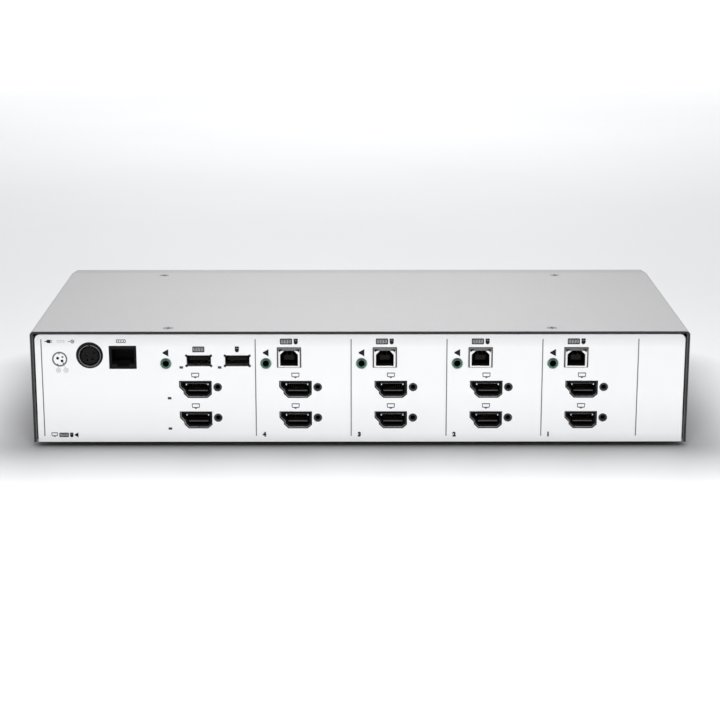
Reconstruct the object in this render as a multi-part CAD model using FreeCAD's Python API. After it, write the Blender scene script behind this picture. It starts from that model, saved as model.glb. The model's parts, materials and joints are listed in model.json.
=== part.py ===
"""A four-computer, two-screen KVM switch: folded steel case, port panel, boards, sockets and buttons.

Millimetres. +X is to the right of the port panel as a person faces it, the port panel faces -Y, the
push buttons face +Y and +Z is up. The origin is at the bottom centre, on the surface under the feet.
"""

import FreeCAD, Part
import math
import os

Vector = FreeCAD.Vector

# Overall size
WIDTH = 340.0
DEPTH = 160.0
CASE_HEIGHT = 59.3
FOOT_HEIGHT = 3.0
SHEET = 1.2
BOARD = 1.6

HALF_WIDTH = WIDTH / 2
PORT_EDGE = -DEPTH / 2
BUTTON_TIP = DEPTH / 2
BASE = FOOT_HEIGHT
TOP = BASE + CASE_HEIGHT
FLOOR = BASE + SHEET

# Cover
COVER_BACK = 67.8
COVER_BEND = 2.0
PORT_SCREWS = ((-99.5, -72.2), (99.5, -72.2))
CONTROL_SCREWS = ((-114.4, 60.0), (114.4, 60.0))
VENT_COUNT = 12
VENT_PITCH = 6.0
VENT_WIDTH = 2.4
VENT_Z = (BASE + 22.0, BASE + 38.0)

# Screws, all M3
SCREW_R = 1.45
TAPPED_R = 1.5
CLEAR_R = 1.6
COUNTERSUNK_R = 2.8
PAN_R = 2.75
PAN_HEIGHT = 2.0

# Port panel
PANEL_FRONT = PORT_EDGE + 0.5
PANEL_BACK = PANEL_FRONT + SHEET
PANEL_HALF = 167.7
PANEL_TOP = BASE + 57.7
PANEL_CORNER = 3.0
FLANGE_DEPTH = 13.8
FLANGE_HALF = 158.0

# Port positions: x from the centre, z above the casing's lower edge
GROUP_PITCH = 49.45
FIRST_DIVIDER = -54.1
CHANNELS = (4, 3, 2, 1)
JACK_OFFSET = 5.4
USB_B_OFFSET = 17.4
VIDEO_OFFSET = 20.6
JACK_Z = BASE + 42.2
USB_A_Z = BASE + 43.65
USB_B_Z = BASE + 45.4
VIDEO_Z = (BASE + 28.32, BASE + 11.85)
LOCK_OFFSET = 11.5
LOCK_RISE = 1.2
CONSOLE_JACK_X = -100.4
CONSOLE_VIDEO_X = -85.35
USB_A_X = {"keyboard": -83.34, "mouse": -63.46}
POWER_X = -139.64
POWER_Z = BASE + 46.63
NETWORK_X = -122.53
NETWORK_Z = BASE + 45.5
REAR_LIGHTS = ((-92.46, 40.11), (-72.63, 40.11), (-98.9, 23.61), (-98.9, 7.17))
REAR_LIGHT_SIZE = (1.9, 1.3)

# Boards
VIDEO_BOARD_Z = BASE + 4.8
USB_BOARD_Z = BASE + 37.6
VIDEO_BOARD_TOP = VIDEO_BOARD_Z + BOARD
USB_BOARD_TOP = USB_BOARD_Z + BOARD
BOARD_FRONT = PANEL_BACK + 0.8
VIDEO_BOARD_X = (-116.0, 146.0)
VIDEO_BOARD_REAR = 36.0
USB_BOARD_X = (-152.0, 146.0)
USB_BOARD_REAR = -15.0
LARGE_CHIPS_X = (25.0, 85.0)
LARGE_CHIP_HEIGHT = 1.8
UPPER_CHIPS_X = (-75.0, 10.0, 95.0)
FIN_PITCH = 4.25
FIN_THICKNESS = 2.0
FIN_COUNT = 9
CAPACITOR_R = 4.0
CAPACITOR_HEIGHT = 11.5
CAPACITOR_PLACES = tuple((x, y) for x in (-144.0, -134.0) for y in (-52.0, -40.0))
RIBBON_SOCKET_HEIGHT = 6.0
RIBBON_THICKNESS = 0.9
POSTS = tuple((x, y) for x in (-108.0, 41.0, 139.0) for y in (-67.0, -22.0))

# Sockets: depths along Y, then sizes as (width, height) and places from each socket's centre
SOCKET_BACK = -64.2
CONTACT_BACK = -67.0
USB_TONGUE_FRONT = -77.2
LEG_LENGTH = 2.0
LEG_THICKNESS = 0.3

USB_A_HOLE = (12.6, 5.8)
USB_A_RELIEF_AT = (6.34, 2.7)
USB_A_RELIEF_R = 0.7
USB_A_SIZE = (13.1, 5.7)
USB_A_SHEET = 0.3
USB_A_TONGUE_HALF = 5.1
USB_A_TONGUE_Z = (-0.1, 1.75)

USB_B_SIZE = (12.0, 10.3)
USB_B_SHEET = 0.4
USB_B_FOLD = 0.6
USB_B_GAP = 0.27
USB_B_FRONT = PANEL_FRONT - 0.4
USB_B_OPENING = (9.2, 8.1)
USB_B_OPENING_DROP = 0.4
USB_B_OPENING_CORNER = 2.1
USB_B_TRIANGLE = ((5.25, 4.4), (3.1, 4.4), (5.25, 2.7))
USB_B_CAVITY = (8.9, 7.9)
USB_B_CAVITY_CORNER = 1.9
USB_B_BLOCK = (5.2, 2.5)

VIDEO_SHEET = 0.3
VIDEO_FLARE = 0.2
VIDEO_GAP = 0.4
VIDEO_SHELL_FRONT = PANEL_FRONT + 0.5
VIDEO_SHELL_BACK = -66.0
VIDEO_HOUSING_BACK = -60.0
VIDEO_HOUSING_HALF = 8.4
VIDEO_CEILING = 3.0
VIDEO_LINING = 0.6
VIDEO_TONGUE_X = (-3.9, 6.2)
VIDEO_TONGUE_Z = (-1.35, -0.65)
VIDEO_TONGUE_FRONT = -77.5
VIDEO_SPRING_X = (-5.2, 6.7)
VIDEO_SPRING_THICKNESS = 0.25
VIDEO_TABS_X = (-5.1, 6.1)
VIDEO_TAB = (0.5, 0.9)
LOCK_HOLE_R = 2.25
LOCK_THREAD_R = 1.3
LOCK_FLANGE_R = 3.2
LOCK_BOSS_R = 2.6

JACK_FRONT = PANEL_FRONT - 0.4
JACK_BORE_R = 1.8
JACK_GROOVE_R = (2.0, 2.4)
JACK_GROOVE_DEPTH = 0.6
JACK_BARREL_R = 2.75
JACK_BEVEL = 0.15
JACK_DEPTH = 14.0

POWER_HOLE_R = 6.975
POWER_DROP = 0.5
POWER_RING_R = 5.65
POWER_RING_SHEET = 0.22
POWER_INSULATOR_R = 4.5
POWER_INSULATOR_FRONT = PANEL_FRONT + 1.3
POWER_DEPTH = -70.0
# Each pin hole of the power inlet: x and z from the insulator's centre, and radius
POWER_PINS = ((-1.6, 0.5, 0.95), (1.5, -1.5, 0.95), (2.2, 1.4, 0.6), (-1.3, -2.4, 0.6))
NETWORK_HOLE = (14.2, 12.3)
NETWORK_WIRE_PITCH = 1.02
NETWORK_WIRE_HALF = 0.22

# Control side
WALL_FRONT = COVER_BACK
WALL_BACK = WALL_FRONT - SHEET
BEZEL_BACK = COVER_BACK + 0.2
BEZEL_FACE = BUTTON_TIP - 1.0
BEZEL_WALL = 2.2
BEZEL_SLOPE = 0.6
BEZEL_TAPER = 1.0
BUTTONS = {"channel_1": 45.0, "channel_2": 15.0, "channel_3": -15.0, "channel_4": -45.0, "mode": -95.0}
BUTTON_SIZE = (18.0, 9.0)
BUTTON_CORNER = 2.2
BUTTON_GAP = 0.35
BUTTON_Z = BASE + 30.0
BUTTON_TRAVEL = 0.6
LIGHT_Z = BUTTON_Z + 12.0
LIGHT_SIZE = (5.0, 1.6)
BUTTON_BOARD_BACK = WALL_FRONT + 0.9
BUTTON_BOARD_FRONT = BUTTON_BOARD_BACK + BOARD
BUTTON_BOARD_X = (-112.0, 62.0)
BUTTON_BOARD_Z = (BASE + 17.0, BASE + 47.0)
BUTTON_BOARD_SCREWS = tuple((x, z) for x in (-106.0, 56.0) for z in (BASE + 21.0, BASE + 43.0))
SWITCH_SIDE = 6.0
SWITCH_HEIGHT = 3.5
PLUNGER_R = 1.6
PLUNGER_BORE_R = 1.68
RIBBON_WINDOW = (-38.0, -12.0, BASE + 18.5, BASE + 28.0)
HOOKS = tuple((x, z) for x in (-150.0, 150.0) for z in (BASE + 12.0, BASE + 46.0))
HOOK_SIZE = (8.0, 2.5)

FOOT_PLACES = tuple((x, y) for x in (-148.0, 148.0) for y in (-58.0, 58.0))
FOOT_R = 7.5


# ---- shapes ----

def box(x0, x1, y0, y1, z0, z1):
    """A block between two corners."""
    return Part.makeBox(x1 - x0, y1 - y0, z1 - z0, Vector(x0, y0, z0))


def block_at(x, z, width, height, y0, y1):
    """A block centred on (x, z) that runs along Y."""
    return box(x - width / 2, x + width / 2, y0, y1, z - height / 2, z + height / 2)


def rod(x, z, radius, y0, y1):
    """A cylinder along Y."""
    return Part.makeCylinder(radius, y1 - y0, Vector(x, y0, z), Vector(0, 1, 0))


def post(x, y, radius, z0, z1):
    """A cylinder along Z."""
    return Part.makeCylinder(radius, z1 - z0, Vector(x, y, z0))


def hex_post(x, y, across_flats, z0, z1):
    """A hexagonal bar along Z."""
    reach = across_flats / math.sqrt(3)
    corners = [(x + reach * math.cos(math.radians(60 * i)), y + reach * math.sin(math.radians(60 * i)))
               for i in range(6)]
    face = Part.Face(Part.makePolygon([Vector(a, b, z0) for a, b in corners + corners[:1]]))
    return face.extrude(Vector(0, 0, z1 - z0))


def outline_wire(points, y):
    """A closed outline of (x, z) points in the plane at y."""
    return Part.makePolygon([Vector(x, y, z) for x, z in list(points) + [points[0]]])


def prism_y(points, y0, y1):
    """(x, z) points carried along Y."""
    return Part.Face(outline_wire(points, y0)).extrude(Vector(0, y1 - y0, 0))


def prism_x(points, x0, x1):
    """(y, z) points carried along X."""
    wire = Part.makePolygon([Vector(x0, y, z) for y, z in list(points) + [points[0]]])
    return Part.Face(wire).extrude(Vector(x1 - x0, 0, 0))


def rounded_block(x, z, width, height, corner, y0, y1):
    """A block along Y whose four long edges are rounded."""
    block = block_at(x, z, width, height, y0, y1)
    long_edges = [e for e in block.Edges if abs(e.tangentAt(e.FirstParameter).y) > 0.99]
    return block.makeFillet(corner, long_edges)


def edges_at_y(shape, y):
    """The edges that lie in the plane at y."""
    return [e for e in shape.Edges if abs(e.BoundBox.YMin - y) < 1e-6 and abs(e.BoundBox.YMax - y) < 1e-6]


def joined(shapes):
    """Several touching shapes as one solid."""
    return shapes[0].fuse(list(shapes[1:])).removeSplitter()


def without(shape, tools):
    """A shape with other shapes cut away."""
    return shape.cut(list(tools))


def group(shapes):
    """Separate solids that share a node."""
    return Part.makeCompound(list(shapes))


def save(name, shape):
    shape.exportStep(os.path.join("parts", name + ".step"))


# ---- port places ----

def channel_left(channel):
    return FIRST_DIVIDER + (CHANNELS[0] - channel) * GROUP_PITCH


def columns():
    """Each group of ports that has two video sockets: its name and the x of its video sockets."""
    found = {str(c): channel_left(c) + VIDEO_OFFSET for c in CHANNELS}
    found["console"] = CONSOLE_VIDEO_X
    return found


def jack_places():
    found = {str(c): channel_left(c) + JACK_OFFSET for c in CHANNELS}
    found["console"] = CONSOLE_JACK_X
    return found


def usb_b_places():
    return {str(c): channel_left(c) + USB_B_OFFSET for c in CHANNELS}


def video_points(x, z):
    """The shared video cut-out: flat top, a stepped slope at lower left and a short one at lower right."""
    shape = ((-8.45, 4.6), (8.45, 4.6), (8.45, -2.65), (6.2, -4.6), (-3.9, -4.6),
             (-6.2, -2.4), (-6.2, -1.1), (-8.45, 1.15))
    return [(x + a, z + b) for a, b in shape]


def video_wire(x, z, inset, y):
    """The video outline made smaller all round by inset, in the plane at y."""
    wire = outline_wire(video_points(x, z), y)
    return wire.makeOffset2D(-inset, join=2) if inset else wire


def video_prism(x, z, inset, y0, y1):
    """The video outline made smaller all round by inset, carried along Y."""
    return Part.Face(video_wire(x, z, inset, y0)).extrude(Vector(0, y1 - y0, 0))


# ---- casing ----

def top_cover():
    """Inverted U of sheet steel, with four countersunk screw holes and a row of vents in each side."""
    def bent_block(half, y0, y1, top, bottom, radius):
        block = box(-half, half, y0, y1, bottom, top)
        bends = [e for e in block.Edges if abs(e.tangentAt(e.FirstParameter).y) > 0.99
                 and e.BoundBox.ZMin > top - 0.1]
        return block.makeFillet(radius, bends)
    outside = bent_block(HALF_WIDTH, PORT_EDGE, COVER_BACK, TOP, BASE, COVER_BEND)
    inside = bent_block(HALF_WIDTH - SHEET, PORT_EDGE - 1, COVER_BACK + 1, TOP - SHEET, BASE - 1,
                        COVER_BEND - SHEET)
    holes = [Part.makeCone(CLEAR_R, COUNTERSUNK_R + 0.1, SHEET, Vector(x, y, TOP - SHEET))
             for x, y in PORT_SCREWS + CONTROL_SCREWS]
    for side in (-1, 1):
        for i in range(VENT_COUNT):
            y = (i - (VENT_COUNT - 1) / 2) * VENT_PITCH
            x = side * HALF_WIDTH
            slot = box(x - 3, x + 3, y - VENT_WIDTH / 2, y + VENT_WIDTH / 2, *VENT_Z)
            ends = [e for e in slot.Edges if abs(e.tangentAt(e.FirstParameter).x) > 0.99]
            holes.append(slot.makeFillet(VENT_WIDTH / 2 - 0.05, ends))
    return without(outside, [inside] + holes)


def cover_screws():
    """Four countersunk screws, each with a cross recess."""
    def screw(x, y):
        head = Part.makeCone(CLEAR_R - 0.1, COUNTERSUNK_R, SHEET, Vector(x, y, TOP - SHEET))
        shank = post(x, y, SCREW_R, TOP - 8.0, TOP - SHEET)
        bars = [box(x - 1.6, x + 1.6, y - 0.3, y + 0.3, TOP - 0.9, TOP + 1),
                box(x - 0.3, x + 0.3, y - 1.6, y + 1.6, TOP - 0.9, TOP + 1)]
        return without(joined([head, shank]), bars)
    return group(screw(x, y) for x, y in PORT_SCREWS + CONTROL_SCREWS)


def chassis_tray():
    """Folded tray: floor, low side flanges, control-side wall with a return flange, and two panel ears."""
    half = HALF_WIDTH - SHEET - 0.2
    flange_top = PANEL_TOP
    pieces = [box(-half, half, PANEL_BACK, WALL_FRONT, BASE, FLOOR),
              box(-half + 1, half - 1, WALL_BACK, WALL_FRONT, FLOOR, flange_top),
              box(-FLANGE_HALF, FLANGE_HALF, 52.0, WALL_BACK, flange_top - SHEET, flange_top)]
    for side in (-1, 1):
        inner, outer = sorted((side * (half - SHEET), side * half))
        pieces.append(box(inner, outer, PANEL_BACK + 2, WALL_BACK - 2, FLOOR, FLOOR + 12))
        near, far = sorted((side * 160.0, side * (half - SHEET - 0.6)))
        pieces.append(box(near, far, PANEL_BACK, PANEL_BACK + SHEET, FLOOR, FLOOR + 44))
    pieces += [rod(x, z, 3.0, WALL_FRONT, BUTTON_BOARD_BACK) for x, z in BUTTON_BOARD_SCREWS]
    holes = [post(x, y, TAPPED_R, flange_top - 3, flange_top + 1) for x, y in CONTROL_SCREWS]
    holes += [rod(x, z, TAPPED_R, WALL_BACK - 1, BUTTON_BOARD_BACK + 1) for x, z in BUTTON_BOARD_SCREWS]
    holes.append(box(RIBBON_WINDOW[0], RIBBON_WINDOW[1], WALL_BACK - 1, WALL_FRONT + 1,
                     RIBBON_WINDOW[2], RIBBON_WINDOW[3]))
    holes += [block_at(x, z - 0.5, HOOK_SIZE[0] + 0.6, HOOK_SIZE[1] + 1.6, WALL_BACK - 1, WALL_FRONT + 1)
              for x, z in HOOKS]
    return without(joined(pieces), holes)


def rubber_feet():
    """Four round stick-on feet with a rounded lower edge and a shallow hollow underneath."""
    def foot(x, y):
        disc = post(x, y, FOOT_R, 0, BASE)
        lower = [e for e in disc.Edges if e.BoundBox.ZMax < 0.01]
        return disc.makeFillet(0.8, lower).cut(post(x, y, 3.0, -1, 0.8))
    return group(foot(x, y) for x, y in FOOT_PLACES)


# ---- port panel ----

def usb_a_hole(x, z, y0, y1):
    """A rectangle with a small round relief at each corner."""
    dx, dz = USB_A_RELIEF_AT
    ears = [rod(x + sx * dx, z + sz * dz, USB_A_RELIEF_R, y0, y1) for sx in (-1, 1) for sz in (-1, 1)]
    return joined([block_at(x, z, *USB_A_HOLE, y0, y1)] + ears)


def port_panel():
    """Flat plate with a hole for each socket, and a return flange along its top for the cover screws."""
    plate = box(-PANEL_HALF, PANEL_HALF, PANEL_FRONT, PANEL_BACK, BASE, PANEL_TOP)
    corners = [e for e in plate.Edges if abs(e.tangentAt(e.FirstParameter).y) > 0.99
               and e.BoundBox.ZMin > PANEL_TOP - 0.1]
    plate = plate.makeFillet(PANEL_CORNER, corners)
    flange = box(-FLANGE_HALF, FLANGE_HALF, PANEL_BACK, PANEL_BACK + FLANGE_DEPTH,
                 PANEL_TOP - SHEET, PANEL_TOP)
    y0 = PANEL_FRONT - 1
    y1 = PANEL_BACK + 1
    holes = [rod(POWER_X, POWER_Z, POWER_HOLE_R, y0, y1),
             block_at(NETWORK_X, NETWORK_Z, *NETWORK_HOLE, y0, y1)]
    holes += [rod(x, JACK_Z, JACK_BARREL_R + 0.15, y0, y1) for x in jack_places().values()]
    holes += [usb_a_hole(x, USB_A_Z, y0, y1) for x in USB_A_X.values()]
    holes += [block_at(x, USB_B_Z, USB_B_SIZE[0] + 2 * USB_B_GAP, USB_B_SIZE[1] + 2 * USB_B_GAP, y0, y1)
              for x in usb_b_places().values()]
    for x in columns().values():
        for z in VIDEO_Z:
            holes.append(video_prism(x, z, 0, y0, y1))
            holes.append(rod(x + LOCK_OFFSET, z + LOCK_RISE, LOCK_HOLE_R, y0, y1))
    holes += [block_at(x, BASE + z, *REAR_LIGHT_SIZE, y0, y1) for x, z in REAR_LIGHTS]
    holes += [post(x, y, TAPPED_R, PANEL_TOP - 3, PANEL_TOP + 1) for x, y in PORT_SCREWS]
    return without(joined([plate, flange]), holes)


# ---- sockets ----

def audio_jack(x):
    """A moulded 3.5 mm jack: square body on the upper board, and a barrel that stands a little proud of the
    panel, with a narrow groove in its face."""
    z = JACK_Z
    body = box(x - 3.5, x + 3.5, PANEL_BACK + 0.3, -63.5, USB_BOARD_TOP, z + 3.3)
    barrel = rod(x, z, JACK_BARREL_R, JACK_FRONT, PANEL_BACK + 0.3)
    barrel = barrel.makeChamfer(JACK_BEVEL, edges_at_y(barrel, JACK_FRONT))
    inner, outer = (rod(x, z, r, JACK_FRONT - 1, JACK_FRONT + JACK_GROOVE_DEPTH) for r in JACK_GROOVE_R)
    bore = rod(x, z, JACK_BORE_R, JACK_FRONT - 1, JACK_FRONT + JACK_DEPTH)
    return without(joined([body, barrel]), [outer.cut(inner), bore])


def legs(x, half, y_places, z_top):
    """Solder legs under a socket shell, down to the upper board."""
    found = []
    for side in (-1, 1):
        x0, x1 = sorted((x + side * (half - LEG_THICKNESS), x + side * half))
        found += [box(x0, x1, y, y + LEG_LENGTH, USB_BOARD_TOP, z_top) for y in y_places]
    return found


def usb_a_shell(x):
    """Thin rectangular sleeve behind the panel, on four legs."""
    width, height = USB_A_SIZE
    y0 = PANEL_BACK + 0.1
    sleeve = block_at(x, USB_A_Z, width, height, y0, SOCKET_BACK)
    hollow = block_at(x, USB_A_Z, width - 2 * USB_A_SHEET, height - 2 * USB_A_SHEET, y0 - 1, SOCKET_BACK + 1)
    feet = legs(x, width / 2, (-75.0, -67.0), USB_A_Z - height / 2 + 1)
    return without(joined([sleeve] + feet), [hollow])


def usb_a_tongues():
    """The insulating block and contact tongue in each of the two sleeves."""
    def tongue(x):
        width, height = (side - 2 * USB_A_SHEET - 0.1 for side in USB_A_SIZE)
        base = block_at(x, USB_A_Z, width, height, CONTACT_BACK, SOCKET_BACK)
        low, high = USB_A_TONGUE_Z
        blade = box(x - USB_A_TONGUE_HALF, x + USB_A_TONGUE_HALF, USB_TONGUE_FRONT, CONTACT_BACK,
                    USB_A_Z + low, USB_A_Z + high)
        return joined([base, blade])
    return group(tongue(x) for x in USB_A_X.values())


def usb_b_opening(x, z, width, height, corner, y0, y1):
    """A square opening whose two upper corners are cut at 45 degrees."""
    a = width / 2
    b = height / 2
    points = [(x - a, z - b), (x + a, z - b), (x + a, z + b - corner), (x + a - corner, z + b),
              (x - a + corner, z + b), (x - a, z + b - corner)]
    return prism_y(points, y0, y1)


def usb_b_shell(x):
    """Square metal can on four legs. Its front frames the opening, above which are two triangular holes."""
    width, height = USB_B_SIZE
    front = USB_B_FRONT
    top = USB_B_Z + height / 2
    can = rounded_block(x, USB_B_Z, width, height, 0.6, front, SOCKET_BACK)
    hollow = block_at(x, USB_B_Z, width - 2 * USB_B_SHEET, height - 2 * USB_B_SHEET,
                      front + USB_B_SHEET + 0.05, SOCKET_BACK + 1)
    opening = usb_b_opening(x, USB_B_Z - USB_B_OPENING_DROP, *USB_B_OPENING, USB_B_OPENING_CORNER,
                            front - 1, front + 1)
    bevel = [(front - 0.1, top - USB_B_FOLD - 0.1), (front + USB_B_FOLD + 0.1, top + 0.1),
             (front - 0.1, top + 0.1)]
    cuts = [hollow, opening, prism_x(bevel, x - width, x + width)]
    for side in (-1, 1):
        corner = [(x + side * a, USB_B_Z + b) for a, b in USB_B_TRIANGLE]
        cuts.append(prism_y(corner, front - 1, front + 0.9))
    feet = legs(x, width / 2, (-74.0, -67.0), USB_B_Z - height / 2 + 1)
    return without(joined([can] + feet), cuts)


def usb_b_core(x):
    """Insulator inside the can, with a plug cavity and a contact block in the middle of it."""
    width, height = USB_B_SIZE
    front = PANEL_FRONT + 0.6
    fill = block_at(x, USB_B_Z, width - 2 * USB_B_SHEET - 0.1, height - 2 * USB_B_SHEET - 0.1,
                    front, SOCKET_BACK - 0.3)
    cavity = usb_b_opening(x, USB_B_Z - USB_B_OPENING_DROP, *USB_B_CAVITY, USB_B_CAVITY_CORNER,
                           front - 1, CONTACT_BACK - 1)
    contact_block = block_at(x, USB_B_Z - 0.5, *USB_B_BLOCK, USB_TONGUE_FRONT, CONTACT_BACK - 0.5)
    return joined([without(fill, [cavity]), contact_block])


def video_shell(x):
    """For each socket of a column: a sleeve with a flared mouth, and a spring plate with two bent tabs."""
    solids = []
    for z in VIDEO_Z:
        sleeve = video_prism(x, z, VIDEO_GAP, VIDEO_SHELL_FRONT, VIDEO_SHELL_BACK)
        inside = VIDEO_GAP + VIDEO_SHEET
        hollow = video_prism(x, z, inside, VIDEO_SHELL_FRONT - 1, VIDEO_SHELL_BACK + 1)
        mouth = Part.makeLoft([video_wire(x, z, inside - VIDEO_FLARE, VIDEO_SHELL_FRONT),
                               video_wire(x, z, inside, VIDEO_SHELL_FRONT + VIDEO_FLARE)], True, True)
        solids.append(without(sleeve, [hollow, mouth]))
        left, right = VIDEO_SPRING_X
        low = z + VIDEO_CEILING - VIDEO_SPRING_THICKNESS
        plate = box(x + left, x + right, -78.3, -70.0, low, z + VIDEO_CEILING)
        width, drop = VIDEO_TAB
        tabs = [box(x + a, x + a + width, -77.7, -77.4, low - drop, low) for a in VIDEO_TABS_X]
        solids.append(joined([plate] + tabs))
    return group(solids)


def video_core(x):
    """One tall insulator that carries both sockets of a column: two lined cavities, each with a tongue."""
    inset = VIDEO_GAP + VIDEO_SHEET + 0.05
    front = VIDEO_SHELL_FRONT + 1.0
    top = VIDEO_Z[0] + 6.0
    half = VIDEO_HOUSING_HALF
    pieces = [box(x - half, x + half, VIDEO_SHELL_BACK, VIDEO_HOUSING_BACK, VIDEO_BOARD_TOP, top)]
    cavities = []
    for z in VIDEO_Z:
        pieces.append(video_prism(x, z, inset, front, VIDEO_SHELL_BACK))
        room = box(x - half, x + half, front - 2, VIDEO_SHELL_BACK + 1, z - 6, z + VIDEO_CEILING)
        cavities.append(video_prism(x, z, inset + VIDEO_LINING, front - 1, VIDEO_SHELL_BACK).common(room))
    left, right = VIDEO_TONGUE_X
    low, high = VIDEO_TONGUE_Z
    tongues = [box(x + left, x + right, VIDEO_TONGUE_FRONT, VIDEO_SHELL_BACK, z + low, z + high)
               for z in VIDEO_Z]
    return joined([without(joined(pieces), cavities)] + tongues)


def video_lock_nuts():
    """Threaded inserts clinched into the panel beside each video socket, for locking plugs."""
    def nut(x, z):
        barrel = rod(x, z, LOCK_HOLE_R - 0.05, PANEL_FRONT + 0.2, PANEL_BACK)
        flange = rod(x, z, LOCK_FLANGE_R, PANEL_BACK, PANEL_BACK + SHEET)
        boss = rod(x, z, LOCK_BOSS_R, PANEL_BACK + SHEET, PANEL_BACK + 5.3)
        thread = rod(x, z, LOCK_THREAD_R, PANEL_FRONT - 1, PANEL_BACK + 6)
        return without(joined([barrel, flange, boss]), [thread])
    return group(nut(x + LOCK_OFFSET, z + LOCK_RISE) for x in columns().values() for z in VIDEO_Z)


def power_inlet_body():
    """Round power socket moulding: square body, collar in the panel hole, and an insulator with pin holes."""
    x = POWER_X
    z = POWER_Z - POWER_DROP
    body = box(x - 7.2, x + 7.2, PANEL_BACK + 0.1, -63.5, USB_BOARD_TOP, POWER_Z + 7.2)
    collar = rod(x, POWER_Z, POWER_HOLE_R - 0.15, PANEL_FRONT + 0.4, PANEL_BACK + 0.1)
    groove = rod(x, z, POWER_RING_R + 0.05, PANEL_FRONT - 1, POWER_DEPTH)
    insulator = rod(x, z, POWER_INSULATOR_R, POWER_INSULATOR_FRONT, POWER_DEPTH)
    key = box(x - 0.8, x + 0.8, POWER_INSULATOR_FRONT, POWER_DEPTH, z + 4.0, z + 5.1)
    pins = [rod(x + a, z + b, r, PANEL_FRONT, POWER_DEPTH - 1) for a, b, r in POWER_PINS]
    return joined([without(joined([body, collar]), [groove]), without(joined([insulator, key]), pins)])


def power_inlet_shell():
    """Metal ring around the insulator, with a key slot at its top."""
    x = POWER_X
    z = POWER_Z - POWER_DROP
    ring = rod(x, z, POWER_RING_R, PANEL_FRONT + 0.4, POWER_DEPTH - 0.05)
    inside = rod(x, z, POWER_RING_R - POWER_RING_SHEET, PANEL_FRONT - 1, POWER_DEPTH)
    slot = box(x - 0.4, x + 0.4, PANEL_FRONT - 1, PANEL_FRONT + 2.4, z + 4.5, z + 6.5)
    return without(ring, [inside, slot])


def network_jack_body():
    """Black eight-way jack with its latch notch at the bottom."""
    x = NETWORK_X
    z = NETWORK_Z
    body = box(x - 6.7, x + 6.7, PANEL_FRONT + 0.6, SOCKET_BACK, USB_BOARD_TOP + 0.2, z + 5.6)
    peg = box(x - 5.0, x + 5.0, -72.0, -68.0, USB_BOARD_TOP, USB_BOARD_TOP + 0.2)
    cavity = box(x - 5.9, x + 5.9, PANEL_FRONT - 1, -66.5, z - 3.9, z + 4.3)
    notch = box(x - 3.1, x + 3.1, PANEL_FRONT - 1, -70.5, z - 5.1, z - 3.8)
    return without(joined([body, peg]), [cavity, notch])


def network_contacts():
    """Eight sprung wires under the roof of the jack's cavity."""
    def wire(i):
        x = NETWORK_X + (i - 3.5) * NETWORK_WIRE_PITCH
        points = [(-66.5, 4.2), (-76.5, 4.2), (-76.5, 3.8), (-69.0, 2.3), (-69.0, 2.7), (-74.5, 3.8),
                  (-66.5, 3.8)]
        return prism_x([(y, NETWORK_Z + z) for y, z in points], x - NETWORK_WIRE_HALF,
                       x + NETWORK_WIRE_HALF)
    return group(wire(i) for i in range(8))


# ---- boards and what is on them ----

def video_board():
    holes = [post(x, y, CLEAR_R, VIDEO_BOARD_Z - 1, VIDEO_BOARD_TOP + 1) for x, y in POSTS]
    return without(box(*VIDEO_BOARD_X, BOARD_FRONT, VIDEO_BOARD_REAR, VIDEO_BOARD_Z, VIDEO_BOARD_TOP), holes)


def usb_board():
    holes = [post(x, y, CLEAR_R, USB_BOARD_Z - 1, USB_BOARD_TOP + 1) for x, y in POSTS]
    return without(box(*USB_BOARD_X, BOARD_FRONT, USB_BOARD_REAR, USB_BOARD_Z, USB_BOARD_TOP), holes)


def button_board():
    holes = [rod(x, z, CLEAR_R, BUTTON_BOARD_BACK - 1, BUTTON_BOARD_FRONT + 1)
             for x, z in BUTTON_BOARD_SCREWS]
    board = box(*BUTTON_BOARD_X, BUTTON_BOARD_BACK, BUTTON_BOARD_FRONT, *BUTTON_BOARD_Z)
    return without(board, holes)


def board_standoffs():
    """Tapped pillars on the tray floor, under the lower board."""
    def standoff(x, y):
        tapped = post(x, y, TAPPED_R, FLOOR + 0.4, VIDEO_BOARD_TOP)
        return hex_post(x, y, 6.0, FLOOR, VIDEO_BOARD_Z).cut(tapped)
    return group(standoff(x, y) for x, y in POSTS)


def board_spacers():
    """Hexagonal spacers between the two boards, each with a stud down and a tapped hole up."""
    def spacer(x, y):
        bar = hex_post(x, y, 5.5, VIDEO_BOARD_TOP, USB_BOARD_Z)
        stud = post(x, y, SCREW_R, FLOOR + 0.8, VIDEO_BOARD_TOP)
        return joined([bar, stud]).cut(post(x, y, TAPPED_R, USB_BOARD_Z - 8, USB_BOARD_Z + 1))
    return group(spacer(x, y) for x, y in POSTS)


def board_screws():
    """Pan-head screws through the upper board, and through the button board."""
    def upright(x, y):
        head = post(x, y, PAN_R, USB_BOARD_TOP, USB_BOARD_TOP + PAN_HEIGHT)
        return joined([head, post(x, y, SCREW_R, USB_BOARD_TOP - 7, USB_BOARD_TOP)])

    def level(x, z):
        head = rod(x, z, PAN_R, BUTTON_BOARD_FRONT, BUTTON_BOARD_FRONT + PAN_HEIGHT)
        return joined([head, rod(x, z, SCREW_R, BUTTON_BOARD_FRONT - 6, BUTTON_BOARD_FRONT)])
    return group([upright(x, y) for x, y in POSTS] + [level(x, z) for x, z in BUTTON_BOARD_SCREWS])


def chip(x, y, side, z, height):
    """A flat square chip on a board whose top is at z."""
    return box(x - side / 2, x + side / 2, y - side / 2, y + side / 2, z, z + height)


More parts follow.
